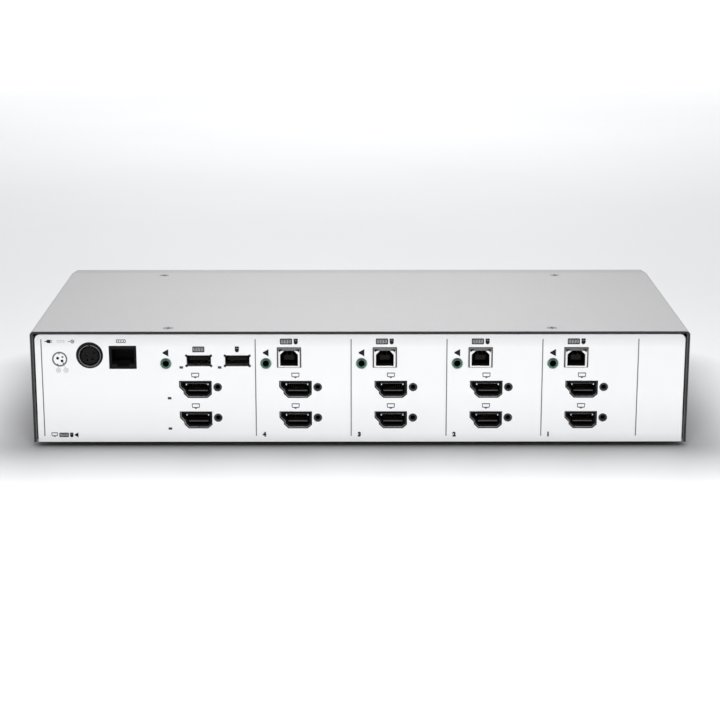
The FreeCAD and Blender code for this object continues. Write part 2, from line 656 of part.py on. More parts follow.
def switch_chips():
    """A chip behind each video column, two large ones on the lower board and three on the upper board."""
    small = [chip(x, -44.0, 12.0, VIDEO_BOARD_TOP, 1.4) for x in columns().values()]
    large = [chip(x, 10.0, 22.0, VIDEO_BOARD_TOP, LARGE_CHIP_HEIGHT) for x in LARGE_CHIPS_X]
    upper = [chip(x, -43.0, 10.0, USB_BOARD_TOP, 1.2) for x in UPPER_CHIPS_X]
    return group(small + large + upper)


def heatsink():
    """Finned block on the first large chip."""
    x0 = LARGE_CHIPS_X[0] - 18
    x1 = LARGE_CHIPS_X[0] + 18
    z = VIDEO_BOARD_TOP + LARGE_CHIP_HEIGHT
    plate = box(x0, x1, -8, 28, z, z + 2.5)
    fins = [box(x0 + i * FIN_PITCH, x0 + i * FIN_PITCH + FIN_THICKNESS, -8, 28, z + 2.5, z + 14)
            for i in range(FIN_COUNT)]
    return joined([plate] + fins)


def capacitors():
    """Electrolytic cans beside the power inlet."""
    return group(post(x, y, CAPACITOR_R, USB_BOARD_TOP, USB_BOARD_TOP + CAPACITOR_HEIGHT)
                 for x, y in CAPACITOR_PLACES)


def ribbon_sockets():
    """One socket at each end of the two ribbons."""
    z = VIDEO_BOARD_TOP
    height = RIBBON_SOCKET_HEIGHT
    low = [box(-37, -13, 24, 32, z, z + height), box(-92, -68, -12, -4, z, z + height)]
    high = box(-92, -68, -30, -22, USB_BOARD_TOP, USB_BOARD_TOP + height)
    rear = box(-37, -13, WALL_BACK - 3.6, BUTTON_BOARD_BACK, RIBBON_WINDOW[2] + 1, RIBBON_WINDOW[3] - 1)
    return group(low + [high, rear])


def strip(points, thickness, x0, x1):
    """A flat strip folded along (y, z) points, as wide as x0 to x1."""
    def shifted(i, side):
        before = points[max(i - 1, 0)]
        here = points[i]
        after = points[min(i + 1, len(points) - 1)]
        normals = []
        for a, b in ((before, here), (here, after)):
            length = math.hypot(b[0] - a[0], b[1] - a[1])
            if length:
                normals.append((-(b[1] - a[1]) / length, (b[0] - a[0]) / length))
        ny = sum(n[0] for n in normals)
        nz = sum(n[1] for n in normals)
        scale = side * thickness / (ny * ny + nz * nz) * len(normals) / 2
        return (here[0] + ny * scale, here[1] + nz * scale)
    count = range(len(points))
    return prism_x([shifted(i, 1) for i in count] + [shifted(i, -1) for i in reversed(count)], x0, x1)


def ribbon_cables():
    """Two flat cables: button board to lower board, and upper board to lower board."""
    z_low = VIDEO_BOARD_TOP + RIBBON_SOCKET_HEIGHT
    z_high = USB_BOARD_TOP + RIBBON_SOCKET_HEIGHT
    z_rear = (RIBBON_WINDOW[2] + RIBBON_WINDOW[3]) / 2
    to_buttons = [(28, z_low), (28, z_low + 8), (36, z_rear), (WALL_BACK - 3.6, z_rear)]
    between = [(-8, z_low), (-8, z_low + 12), (-11, z_high - 6), (-14, z_high + 4), (-26, z_high + 4),
               (-26, z_high)]
    return group([strip(to_buttons, RIBBON_THICKNESS, -35, -15), strip(between, RIBBON_THICKNESS, -90, -70)])


# ---- control side ----

def front_bezel():
    """Moulded end piece: sloping roof, tapered ends, holes for buttons and lights, and four snap hooks."""
    roof = [(BEZEL_BACK, BASE), (BEZEL_FACE, BASE), (BEZEL_FACE, TOP - BEZEL_SLOPE), (BEZEL_BACK, TOP)]
    shell = prism_x(roof, -HALF_WIDTH, HALF_WIDTH)
    plan = [Vector(-HALF_WIDTH, BEZEL_BACK, 0), Vector(-HALF_WIDTH + BEZEL_TAPER, BEZEL_FACE, 0),
            Vector(HALF_WIDTH - BEZEL_TAPER, BEZEL_FACE, 0), Vector(HALF_WIDTH, BEZEL_BACK, 0)]
    shell = shell.common(Part.Face(Part.makePolygon(plan + plan[:1])).extrude(Vector(0, 0, TOP + 1)))
    corners = [e for e in shell.Edges if e.Length > 8 and e.BoundBox.YMax > BEZEL_FACE - 0.01
               and (e.BoundBox.YMin < BEZEL_FACE - 1 or e.BoundBox.ZLength > 50)]
    shell = shell.makeFillet(2.0, corners)
    shell = shell.makeFillet(1.2, [e for e in edges_at_y(shell, BEZEL_FACE)])
    wall = BEZEL_WALL
    hollow = box(-HALF_WIDTH + wall + 1, HALF_WIDTH - wall - 1, BEZEL_BACK - 1, BEZEL_FACE - wall,
                 BASE + wall, TOP - wall - BEZEL_SLOPE)
    y0 = BEZEL_FACE - 4
    y1 = BEZEL_FACE + 1
    width, height = BUTTON_SIZE
    holes = [rounded_block(x, BUTTON_Z, width + 2 * BUTTON_GAP, height + 2 * BUTTON_GAP,
                           BUTTON_CORNER + BUTTON_GAP, y0, y1) for x in BUTTONS.values()]
    holes += [block_at(x, LIGHT_Z, LIGHT_SIZE[0] + 0.1, LIGHT_SIZE[1] + 0.1, y0, y1)
              for x in BUTTONS.values()]
    hooks = []
    for x, z in HOOKS:
        hooks.append(block_at(x, z, *HOOK_SIZE, WALL_BACK - 2.0, BEZEL_FACE - wall + 0.5))
        hooks.append(block_at(x, z - 0.9, *HOOK_SIZE, WALL_BACK - 2.0, WALL_BACK - 0.2))
    return joined([without(shell, [hollow] + holes)] + hooks)


def button_cap(x):
    """A push button: crowned cap through the bezel and a wider flange that stops behind it."""
    width, height = BUTTON_SIZE
    inner_face = BEZEL_FACE - BEZEL_WALL
    flange_back = inner_face - 1.8
    cap = rounded_block(x, BUTTON_Z, width, height, BUTTON_CORNER, inner_face - 1.0, BUTTON_TIP)
    cap = cap.makeFillet(0.5, edges_at_y(cap, BUTTON_TIP))
    flange = rounded_block(x, BUTTON_Z, width + 3, height + 3, BUTTON_CORNER, flange_back, inner_face - 0.1)
    return joined([cap, flange])


def switch_plunger(x):
    """The small round stem of the switch, which moves with its button."""
    flange_back = BEZEL_FACE - BEZEL_WALL - 1.8
    return rod(x, BUTTON_Z, PLUNGER_R, BUTTON_BOARD_FRONT + 2.4, flange_back)


def tactile_switches():
    """Square switch bodies on the button board, each with a round well for its plunger."""
    def body(x):
        block = block_at(x, BUTTON_Z, SWITCH_SIDE, SWITCH_SIDE, BUTTON_BOARD_FRONT,
                         BUTTON_BOARD_FRONT + SWITCH_HEIGHT)
        return block.cut(rod(x, BUTTON_Z, PLUNGER_BORE_R, BUTTON_BOARD_FRONT + 2.4 - BUTTON_TRAVEL - 0.3,
                             BUTTON_BOARD_FRONT + 5))
    return group(body(x) for x in BUTTONS.values())


def light_pipes():
    """Clear bars that bring each board's lights out to the bezel and to the port panel."""
    width, height = REAR_LIGHT_SIZE
    front = [block_at(x, LIGHT_Z, *LIGHT_SIZE, BUTTON_BOARD_FRONT + 0.7, BEZEL_FACE)
             for x in BUTTONS.values()]
    rear = [block_at(x, BASE + z, width - 0.1, height - 0.1, PANEL_FRONT + 0.1, -72.0)
            for x, z in REAR_LIGHTS]
    return group(front + rear)


def build_all():
    os.makedirs("parts", exist_ok=True)
    save("top_cover", top_cover())
    save("cover_screws", cover_screws())
    save("chassis_tray", chassis_tray())
    save("rubber_feet", rubber_feet())
    save("port_panel", port_panel())
    for name, x in jack_places().items():
        save("audio_jack_" + name, audio_jack(x))
    for name, x in USB_A_X.items():
        save("usb_a_shell_" + name, usb_a_shell(x))
    save("usb_a_tongues", usb_a_tongues())
    for name, x in usb_b_places().items():
        save("usb_b_shell_" + name, usb_b_shell(x))
        save("usb_b_core_" + name, usb_b_core(x))
    for name, x in columns().items():
        save("video_shell_" + name, video_shell(x))
        save("video_core_" + name, video_core(x))
    save("video_lock_nuts", video_lock_nuts())
    save("power_inlet_body", power_inlet_body())
    save("power_inlet_shell", power_inlet_shell())
    save("network_jack_body", network_jack_body())
    save("network_contacts", network_contacts())
    save("video_board", video_board())
    save("usb_board", usb_board())
    save("button_board", button_board())
    save("board_standoffs", board_standoffs())
    save("board_spacers", board_spacers())
    save("board_screws", board_screws())
    save("switch_chips", switch_chips())
    save("heatsink", heatsink())
    save("capacitors", capacitors())
    save("ribbon_sockets", ribbon_sockets())
    save("ribbon_cables", ribbon_cables())
    save("front_bezel", front_bezel())
    save("tactile_switches", tactile_switches())
    save("light_pipes", light_pipes())
    for name, x in BUTTONS.items():
        save(name + "_button", button_cap(x))
        save(name + "_plunger", switch_plunger(x))


build_all()
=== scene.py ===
"""The looks of the KVM switch: a finish on every CAD node, the printed marks, the contacts in the sockets,
and a pale studio with a camera in front of the port panel.

Sizes in the shape functions are millimetres in the frame of the CAD model. Places come from its mounts.
"""

import json
import math

import bmesh
import bpy
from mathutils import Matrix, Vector


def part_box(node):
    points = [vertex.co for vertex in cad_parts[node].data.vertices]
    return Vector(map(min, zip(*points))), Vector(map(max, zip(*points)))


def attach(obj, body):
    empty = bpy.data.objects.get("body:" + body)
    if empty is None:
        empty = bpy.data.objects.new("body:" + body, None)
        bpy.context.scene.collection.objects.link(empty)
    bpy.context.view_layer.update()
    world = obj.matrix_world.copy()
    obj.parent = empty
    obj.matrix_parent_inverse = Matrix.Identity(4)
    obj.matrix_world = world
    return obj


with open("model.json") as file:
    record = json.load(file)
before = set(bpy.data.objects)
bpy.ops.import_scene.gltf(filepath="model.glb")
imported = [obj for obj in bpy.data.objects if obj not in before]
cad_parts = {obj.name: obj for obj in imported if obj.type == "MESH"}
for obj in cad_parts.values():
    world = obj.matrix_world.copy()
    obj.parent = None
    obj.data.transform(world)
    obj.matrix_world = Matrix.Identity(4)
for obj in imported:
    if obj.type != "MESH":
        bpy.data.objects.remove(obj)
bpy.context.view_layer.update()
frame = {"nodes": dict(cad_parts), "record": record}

MM = 0.001
NODES = frame["nodes"]
MOUNTS = {m["name"]: m for m in frame["record"]["mounts"]}
CHANNELS = (4, 3, 2, 1)
COLUMNS = [str(c) for c in CHANNELS] + ["console"]
LEVELS = ("upper", "lower")


def mount(name):
    """A mount's place in millimetres."""
    return Vector(MOUNTS[name]["pos_m"]) / MM


def node_box(name):
    """A CAD node's lowest and highest corner in millimetres."""
    low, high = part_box(name)
    return low / MM, high / MM


def split_boxes(node):
    """The lowest and highest corner of each separate solid in a node, in millimetres, from left to right."""
    bm = bmesh.new()
    bm.from_mesh(NODES[node].data)
    bmesh.ops.remove_doubles(bm, verts=bm.verts, dist=0.01 * MM)
    left = set(bm.verts)
    boxes = []
    while left:
        found = set()
        reach = [left.pop()]
        while reach:
            v = reach.pop()
            found.add(v)
            for e in v.link_edges:
                other = e.other_vert(v)
                if other in left:
                    left.remove(other)
                    reach.append(other)
        low = Vector(map(min, zip(*(v.co for v in found)))) / MM
        high = Vector(map(max, zip(*(v.co for v in found)))) / MM
        boxes.append((low, high))
    bm.free()
    return sorted(boxes, key=lambda b: tuple(b[0]))


PANEL_LOW, PANEL_HIGH = node_box("port_panel")
COVER_LOW, COVER_HIGH = node_box("top_cover")
BEZEL_FACE = node_box("front_bezel")[1].y
PANEL_FACE = PANEL_LOW.y
COVER_FRONT = COVER_LOW.y
CASE_LOW_Z = PANEL_LOW.z
JACK_TO_LINE = 5.4
NICKEL = (0.88, 0.875, 0.865)


def group_lefts():
    """x of the line at the left of each computer group, from the jacks, and of the line after the last."""
    jacks = [mount(f"audio_jack_{c}").x for c in CHANNELS]
    pitch = jacks[1] - jacks[0]
    return [x - JACK_TO_LINE for x in jacks + [jacks[-1] + pitch]]


# ---- shader building ----

class Finish:
    """A material under construction: its node tree, its Principled shader and short ways to add nodes."""

    def __init__(self, name, colour, roughness, metallic=0.0):
        self.material = bpy.data.materials.new(name)
        self.material.use_nodes = True
        self.tree = self.material.node_tree
        self.shader = self.tree.nodes["Principled BSDF"]
        self.shader.inputs["Base Color"].default_value = (*colour, 1)
        self.shader.inputs["Roughness"].default_value = roughness
        self.shader.inputs["Metallic"].default_value = metallic
        self.colour = None
        self.base = colour
        self.height = None
        self.coordinates = self.add("ShaderNodeTexCoord").outputs["Object"]

    def set(self, **values):
        """Constant values on the shader's own sockets, such as coat_weight=0.2."""
        for name, value in values.items():
            self.shader.inputs[name.replace("_", " ").title().replace("Ior", "IOR")].default_value = value
        return self

    def add(self, kind, **settings):
        made = self.tree.nodes.new(kind)
        for name, value in settings.items():
            setattr(made, name, value)
        return made

    def link(self, source, target):
        self.tree.links.new(source, target)

    def stretched(self, scale):
        """Object coordinates multiplied by a scale for each axis."""
        mapping = self.add("ShaderNodeMapping")
        self.link(self.coordinates, mapping.inputs["Vector"])
        mapping.inputs["Scale"].default_value = scale
        return mapping.outputs["Vector"]

    def noise(self, size, detail=3.0, stretch=(1, 1, 1)):
        """Noise whose features are about size millimetres across."""
        made = self.add("ShaderNodeTexNoise")
        made.inputs["Scale"].default_value = 1 / (size * MM)
        made.inputs["Detail"].default_value = detail
        self.link(self.stretched(stretch), made.inputs["Vector"])
        return made.outputs["Fac"]

    def cells(self, size, output="Color"):
        """Voronoi cells about size millimetres across."""
        made = self.add("ShaderNodeTexVoronoi")
        made.inputs["Scale"].default_value = 1 / (size * MM)
        self.link(self.coordinates, made.inputs["Vector"])
        return made.outputs[output]

    def bands(self, pitch, axis):
        """A sine wave of the given pitch in millimetres along one axis, from 0 to 1."""
        made = self.add("ShaderNodeTexWave", wave_type="BANDS", bands_direction=axis)
        made.inputs["Scale"].default_value = math.pi / (10 * pitch * MM)
        self.link(self.coordinates, made.inputs["Vector"])
        return made.outputs["Fac"]

    def axis_value(self, source, axis):
        """One of the three values of a vector or a colour."""
        split = self.add("ShaderNodeSeparateXYZ")
        self.link(source, split.inputs[0])
        return split.outputs[axis]

    def place(self, axis):
        return self.axis_value(self.coordinates, axis)

    def between(self, axis, start, end, most=1.0):
        """0 at one level along an axis, becoming most at another. Levels are in millimetres."""
        return self.ramp(self.place(axis), start * MM, end * MM, 0.0, most)

    def beside(self, axis, level, outer, inner):
        """1 within inner millimetres of a level along an axis, falling to 0 at outer."""
        gap = self.maths("ABSOLUTE", self.maths("SUBTRACT", self.place(axis), level * MM), 0)
        return self.ramp(gap, outer * MM, inner * MM)

    def facing(self, axis):
        """The surface's direction along an axis, from -1 to 1."""
        return self.axis_value(self.add("ShaderNodeNewGeometry").outputs["Normal"], axis)

    def ramp(self, source, low, high, to_low=0.0, to_high=1.0):
        """Source from low to high becomes to_low to to_high, clamped."""
        made = self.add("ShaderNodeMapRange")
        self.link(source, made.inputs["Value"])
        for name, value in (("From Min", low), ("From Max", high), ("To Min", to_low), ("To Max", to_high)):
            made.inputs[name].default_value = value
        return made.outputs["Result"]

    def maths(self, operation, a, b):
        made = self.add("ShaderNodeMath", operation=operation)
        for socket, value in zip(made.inputs, (a, b)):
            if isinstance(value, (int, float)):
                socket.default_value = value
            else:
                self.link(value, socket)
        return made.outputs[0]

    def tint(self, factor, colour):
        """Mixes another colour over what the base colour is so far, where factor is 1."""
        mix = self.add("ShaderNodeMix", data_type="RGBA")
        self.link(factor, mix.inputs["Factor"])
        if self.colour:
            self.link(self.colour, mix.inputs["A"])
        else:
            mix.inputs["A"].default_value = (*self.base, 1)
        mix.inputs["B"].default_value = (*colour, 1)
        self.colour = mix.outputs["Result"]
        self.link(self.colour, self.shader.inputs["Base Color"])
        return self

    def rough(self, source, low, high):
        """Roughness that follows a texture, between two values."""
        self.link(self.ramp(source, 0.3, 0.7, low, high), self.shader.inputs["Roughness"])
        return self

    def metal(self, factor):
        """Metal where factor is 1."""
        self.link(factor, self.shader.inputs["Metallic"])
        return self

    def relief(self, source, depth):
        """Adds a bump of the given depth in millimetres."""
        bump = self.add("ShaderNodeBump")
        bump.inputs["Strength"].default_value = 1.0
        bump.inputs["Distance"].default_value = depth * MM
        self.link(source, bump.inputs["Height"])
        if self.height:
            self.link(self.height, bump.inputs["Normal"])
        self.height = bump.outputs["Normal"]
        self.link(self.height, self.shader.inputs["Normal"])
        return self

    def soft_edges(self, radius):
        """Rounds the shading of sharp edges, and keeps it under any relief that follows."""
        bevel = self.add("ShaderNodeBevel", samples=4)
        bevel.inputs["Radius"].default_value = radius * MM
        self.height = bevel.outputs["Normal"]
        self.link(self.height, self.shader.inputs["Normal"])
        return self


def shade(colour, factor):
    """A colour made darker or lighter."""
    return tuple(min(c * factor, 1.0) for c in colour)


# ---- finishes, one function for each material slot of the record ----

def cover_paint():
    """Light grey powder coat with a fine sandy texture. The cut sheet edges are black, and the underside is
    painted black as shade for the gap under the lip.
    """
    grey = (0.405, 0.399, 0.4)
    finish = Finish("cover_paint", grey, 0.5)
    finish.tint(finish.ramp(finish.noise(60, 2), 0.35, 0.7), shade(grey, 0.98))
    finish.tint(finish.ramp(finish.noise(0.35, 2), 0.55, 0.75, 0, 0.5), shade(grey, 0.86))
    finish.tint(finish.ramp(finish.noise(0.5, 2), 0.6, 0.75, 0, 0.35), shade(grey, 1.12))
    lip = finish.between("Y", COVER_FRONT + 0.5, COVER_FRONT + 0.1)
    front_edge = finish.maths("MULTIPLY", finish.ramp(finish.facing("Y"), -0.5, -0.9), lip)
    # black on faces that point down: the lower cut edges of the sides, and painted shade on the underside
    # that keeps the gap under the lip dark
    low_edges_and_painted_shade = finish.ramp(finish.facing("Z"), -0.6, -0.9)
    finish.tint(finish.maths("MAXIMUM", front_edge, low_edges_and_painted_shade), (0.012, 0.012, 0.013))
    finish.rough(finish.noise(1.2, 3), 0.46, 0.6)
    finish.soft_edges(0.25)
    finish.relief(finish.noise(0.45, 3), 0.018)
    return finish.relief(finish.noise(14, 2), 0.03)


def panel_paint():
    """Smooth satin white, with painted shade: greyer under the cover's lip and at its foot.
    The walls of the holes are painted dark as shade.
    """
    white = (0.866, 0.87, 0.876)
    top = PANEL_HIGH.z
    finish = Finish("panel_paint", white, 0.4)
    finish.tint(finish.ramp(finish.noise(45, 2), 0.35, 0.7), shade(white, 0.985))
    finish.tint(finish.ramp(finish.noise(0.4, 2), 0.6, 0.8, 0, 0.3), shade(white, 0.93))
    # painted shade: greyer towards the cover's lip, darkest just under it, and greyer at the foot
    finish.tint(finish.between("Z", top - 30, top - 5), shade(white, 0.93))
    finish.tint(finish.between("Z", top - 7, top), shade(white, 0.76))
    finish.tint(finish.between("Z", CASE_LOW_Z + 5, CASE_LOW_Z), shade(white, 0.87))
    # painted shade: the walls of the holes are dark, below the rim at the top
    walls = finish.ramp(finish.maths("ABSOLUTE", finish.facing("Y"), 0), 0.7, 0.4)
    under_rim = finish.between("Z", top - 1.5, top - 2.5)
    finish.tint(finish.maths("MULTIPLY", walls, under_rim), (0.03, 0.03, 0.03))
    finish.rough(finish.noise(2.5, 3), 0.34, 0.46)
    finish.soft_edges(0.2)
    finish.relief(finish.noise(0.8, 3), 0.004)
    return finish.relief(finish.noise(9, 2), 0.008)


def tray_steel():
    """Zinc-plated sheet: a large crystal pattern under fine rolling marks."""
    grey = (0.5, 0.505, 0.51)
    finish = Finish("tray_steel", grey, 0.42, 1.0)
    spangle = finish.axis_value(finish.cells(9), "X")
    finish.tint(finish.ramp(spangle, 0.1, 0.9, 0, 0.6), shade(grey, 0.78))
    rolled = finish.noise(0.8, 4, (0.05, 1, 1))
    finish.rough(rolled, 0.34, 0.52)
    return finish.relief(rolled, 0.006)


def screw_steel():
    """Mottled dark zinc plate, with painted shade: black in the recesses of the cover's screws."""
    grey = (0.25, 0.25, 0.255)
    top = COVER_HIGH.z
    finish = Finish("screw_steel", grey, 0.36, 1.0)
    finish.tint(finish.ramp(finish.noise(1.2, 3), 0.4, 0.7, 0, 0.7), shade(grey, 0.7))
    # painted shade: black in the recesses of the screw heads in the cover
    painted_shade_recess = finish.between("Z", top - 0.1, top - 0.25)
    in_cover = finish.between("Z", top - 2.0, top - 1.9)
    finish.tint(finish.maths("MULTIPLY", painted_shade_recess, in_cover), (0.008, 0.008, 0.008))
    finish.rough(finish.noise(0.5, 3), 0.3, 0.48)
    return finish.relief(finish.noise(0.3, 2), 0.01)


def foot_rubber():
    """Matt black moulded rubber with a bloom of paler dust."""
    black = (0.022, 0.022, 0.022)
    finish = Finish("foot_rubber", black, 0.85)
    finish.tint(finish.ramp(finish.noise(2.5, 4), 0.5, 0.8, 0, 0.5), shade(black, 2.0))
    finish.rough(finish.noise(1.0, 3), 0.78, 0.95)
    return finish.relief(finish.noise(0.4, 3), 0.03)


def bezel_plastic():
    """Light grey moulding with a spark-eroded texture."""
    grey = (0.355, 0.355, 0.36)
    finish = Finish("bezel_plastic", grey, 0.5)
    finish.tint(finish.ramp(finish.noise(50, 2), 0.35, 0.7), shade(grey, 0.965))
    finish.tint(finish.ramp(finish.noise(0.4, 2), 0.55, 0.75, 0, 0.4), shade(grey, 0.88))
    finish.rough(finish.noise(0.7, 3), 0.44, 0.58)
    finish.soft_edges(0.3)
    return finish.relief(finish.cells(0.45, output="Distance"), 0.016)


def button_plastic():
    """Dark grey keys, smoother than the bezel around them."""
    grey = (0.06, 0.062, 0.068)
    finish = Finish("button_plastic", grey, 0.4)
    finish.tint(finish.ramp(finish.noise(0.6, 2), 0.5, 0.75, 0, 0.5), shade(grey, 1.35))
    finish.rough(finish.noise(1.5, 3), 0.32, 0.46)
    finish.soft_edges(0.2)
    return finish.relief(finish.noise(0.35, 3), 0.008)


def light_plastic():
    """Smoked clear bars with faint flow lines."""
    smoke = (0.05, 0.055, 0.05)
    finish = Finish("light_plastic", smoke, 0.18).set(transmission_weight=0.35, ior=1.49)
    finish.tint(finish.ramp(finish.noise(1.0, 3, (0.3, 1, 1)), 0.4, 0.7, 0, 0.6), shade(smoke, 1.8))
    finish.rough(finish.noise(1.5, 2), 0.14, 0.24)
    return finish.relief(finish.noise(1.2, 2), 0.01)


def nickel_finish(name):
    """Nickel-plated strip with fine drawing marks."""
    finish = Finish(name, NICKEL, 0.3, 1.0)
    finish.tint(finish.ramp(finish.noise(2.0, 3), 0.45, 0.75, 0, 0.6), shade(NICKEL, 0.86))
    finish.rough(finish.noise(0.5, 4, (1, 0.1, 1)), 0.24, 0.4)
    return finish


def drawing_marks(finish):
    """Fine lines along the depth of the case, under softened edges."""
    finish.soft_edges(0.12)
    return finish.relief(finish.noise(0.3, 3, (1, 0.08, 1)), 0.004)


def socket_metal():
    """Bright nickel. Just behind the panel's face, the front faces and the top and right of a flare are
    painted dark as shade, and the bottom of a flare is painted darker to tone down its highlight."""
    finish = nickel_finish("socket_metal")
    # painted shade just behind the panel's face: dark front faces, top and right of each flare, a darker
    # flare bottom
    behind = finish.between("Y", PANEL_FACE + 0.42, PANEL_FACE + 0.48)
    near = finish.between("Y", PANEL_FACE + 1.5, PANEL_FACE + 1.4)
    painted_shade_front_faces = finish.ramp(finish.facing("Y"), -0.9, -0.97)
    shadowed = finish.maths("MAXIMUM", finish.ramp(finish.facing("X"), -0.4, -0.6),
                            finish.ramp(finish.facing("Z"), -0.4, -0.6))
    rim = finish.maths("MULTIPLY", behind, near)
    finish.tint(finish.maths("MULTIPLY", rim, finish.ramp(finish.facing("Z"), 0.4, 0.6)), shade(NICKEL, 0.42))
    finish.tint(finish.maths("MULTIPLY", rim, finish.maths("MAXIMUM", painted_shade_front_faces, shadowed)), shade(NICKEL, 0.1))
    return drawing_marks(finish)


def plate_metal():
    """Bright nickel front plate of the square sockets: a painted dark reflection along its top fold, painted
    shade at its sides.
    """
    finish = nickel_finish("plate_metal")
    socket = mount("usb_b_1")
    low, high = node_box("usb_b_shell_1")
    lefts = group_lefts()
    half_pitch = (lefts[1] - lefts[0]) / 2
    from_first = finish.maths("SUBTRACT", finish.place("X"), socket.x * MM)
    across = finish.maths("PINGPONG", from_first, half_pitch * MM)
    edge = (high.x - low.x) / 2
    sides = finish.ramp(across, (edge - 0.6) * MM, (edge - 0.4) * MM)
    # painted dark reflection along the top fold, painted shade at the sides
    fold = finish.between("Z", high.z - 1.7, high.z - 1.55)
    finish.tint(fold, shade(NICKEL, 0.17))
    finish.tint(sides, shade(NICKEL, 0.14))
    return drawing_marks(finish)


def ring_metal():
    """Dull nickel ring of the power inlet."""
    dull = shade(NICKEL, 0.42)
    finish = Finish("ring_metal", dull, 0.42, 1.0)
    finish.tint(finish.ramp(finish.noise(1.5, 3), 0.45, 0.75, 0, 0.6), shade(dull, 0.7))
    finish.rough(finish.noise(0.5, 3), 0.36, 0.5)
    return drawing_marks(finish)


def socket_black():
    """Black glass-filled moulding, paler along the lower edge of the video tongues' tips."""
    black = (0.004, 0.004, 0.0045)
    finish = Finish("socket_black", black, 0.55).set(specular_ior_level=0.15)
    finish.tint(finish.ramp(finish.noise(0.35, 3), 0.55, 0.8, 0, 0.6), shade(black, 2.4))
    tips = finish.beside("Y", PANEL_FACE + 2, 0.06, 0.03)
    edges = [finish.beside("Z", mount(f"video_1_{level}").z - 1.2, 0.28, 0.24) for level in LEVELS]
    finish.tint(finish.maths("MULTIPLY", tips, finish.maths("MAXIMUM", *edges)), (0.1, 0.1, 0.105))
    finish.rough(finish.noise(0.8, 3), 0.48, 0.66)
    finish.soft_edges(0.12)
    return finish.relief(finish.noise(0.3, 3), 0.006)


def nut_black():
    """Black oxide insert with the thread showing in its bore."""
    black = (0.04, 0.041, 0.045)
    finish = Finish("nut_black", black, 0.4, 0.6)
    finish.tint(finish.ramp(finish.noise(0.5, 3), 0.45, 0.75, 0, 0.7), shade(black, 2.2))
    finish.rough(finish.noise(0.4, 3), 0.34, 0.5)
    finish.soft_edges(0.15)
    return finish.relief(finish.bands(0.5, "Y"), 0.12)


def jack_green():
    """Green face with painted shade towards its top, on a black moulding; the groove and bore are painted
    black as shade.
    """
    green = (0.2, 0.43, 0.315)
    black = (0.006, 0.007, 0.007)
    middle = mount("audio_jack_1").z
    finish = Finish("jack_green", green, 0.36)
    finish.tint(finish.ramp(finish.noise(0.5, 3), 0.45, 0.75, 0, 0.7), shade(green, 0.82))
    # painted shade: the top of the green face darker, where the panel's hole edge shades it
    finish.tint(finish.between("Z", middle + 0.9, middle + 2.3, 0.8), (0.05, 0.07, 0.06))
    # black on faces that don't point forward and behind the panel's face: the black moulding, with painted
    # shade in the groove and bore
    finish.tint(finish.ramp(finish.facing("Y"), -0.6, -0.4), black)
    finish.tint(finish.between("Y", PANEL_FACE, PANEL_FACE + 0.05), black)
    finish.rough(finish.noise(0.8, 3), 0.3, 0.44)
    finish.soft_edges(0.15)
    return finish.relief(finish.noise(0.3, 3), 0.006)


def contact_gold():
    """Gold flash over nickel, duller where the plug wipes it."""
    gold = (0.83, 0.6, 0.25)
    finish = Finish("contact_gold", gold, 0.28, 1.0)
    finish.tint(finish.ramp(finish.noise(1.0, 3, (1, 0.3, 1)), 0.45, 0.75, 0, 0.6), (0.62, 0.52, 0.36))
    finish.rough(finish.noise(0.4, 3, (1, 0.15, 1)), 0.22, 0.4)
    return finish.relief(finish.noise(0.25, 2, (1, 0.1, 1)), 0.003)


def board_green():
    """Solder mask over copper tracks, with scattered tinned holes."""
    green = (0.012, 0.13, 0.055)
    finish = Finish("board_green", green, 0.34).set(coat_weight=0.4, coat_roughness=0.2)
    tracks = finish.maths("MULTIPLY", finish.ramp(finish.bands(1.27, "X"), 0.72, 0.8),
                          finish.ramp(finish.noise(14, 1, (1, 0.3, 1)), 0.46, 0.5))
    crossings = finish.maths("MULTIPLY", finish.ramp(finish.bands(2.54, "Y"), 0.8, 0.86),
                             finish.ramp(finish.noise(11, 1, (0.3, 1, 1)), 0.52, 0.56))
    lines = finish.maths("MAXIMUM", tracks, crossings)
    finish.tint(lines, (0.03, 0.24, 0.1))
    finish.tint(finish.ramp(finish.cells(3.6, output="Distance"), 0.12, 0.09), (0.62, 0.6, 0.56))
    finish.rough(finish.noise(3, 3), 0.28, 0.42)
    return finish.relief(lines, 0.035)


def chip_black():
    """Moulded epoxy with a fine matt surface."""
    black = (0.02, 0.02, 0.022)
    finish = Finish("chip_black", black, 0.6)
    finish.tint(finish.ramp(finish.noise(0.3, 3), 0.5, 0.8, 0, 0.6), shade(black, 2.0))
    finish.rough(finish.noise(0.9, 3), 0.54, 0.7)
    return finish.relief(finish.noise(0.25, 3), 0.01)


def fin_aluminium():
    """Black anodised extrusion with lines along the fins."""
    black = (0.045, 0.045, 0.05)
    finish = Finish("fin_aluminium", black, 0.45, 0.7)
    lines = finish.noise(0.5, 3, (1, 0.03, 1))
    finish.tint(finish.ramp(lines, 0.45, 0.75, 0, 0.6), shade(black, 1.8))
    finish.rough(lines, 0.38, 0.54)
    return finish.relief(lines, 0.01)


def capacitor_sleeve():
    """Dark sleeve with a pale stripe on one side and a bare aluminium top."""
    blue = (0.012, 0.02, 0.07)
    finish = Finish("capacitor_sleeve", blue, 0.3)
    finish.tint(finish.ramp(finish.facing("X"), -0.8, -0.86), (0.55, 0.57, 0.6))
    top = finish.ramp(finish.facing("Z"), 0.9, 0.95)
    finish.tint(top, (0.75, 0.75, 0.76))
    finish.metal(top)
    finish.rough(finish.noise(1.5, 3), 0.24, 0.38)
    return finish.relief(finish.noise(0.8, 2), 0.01)


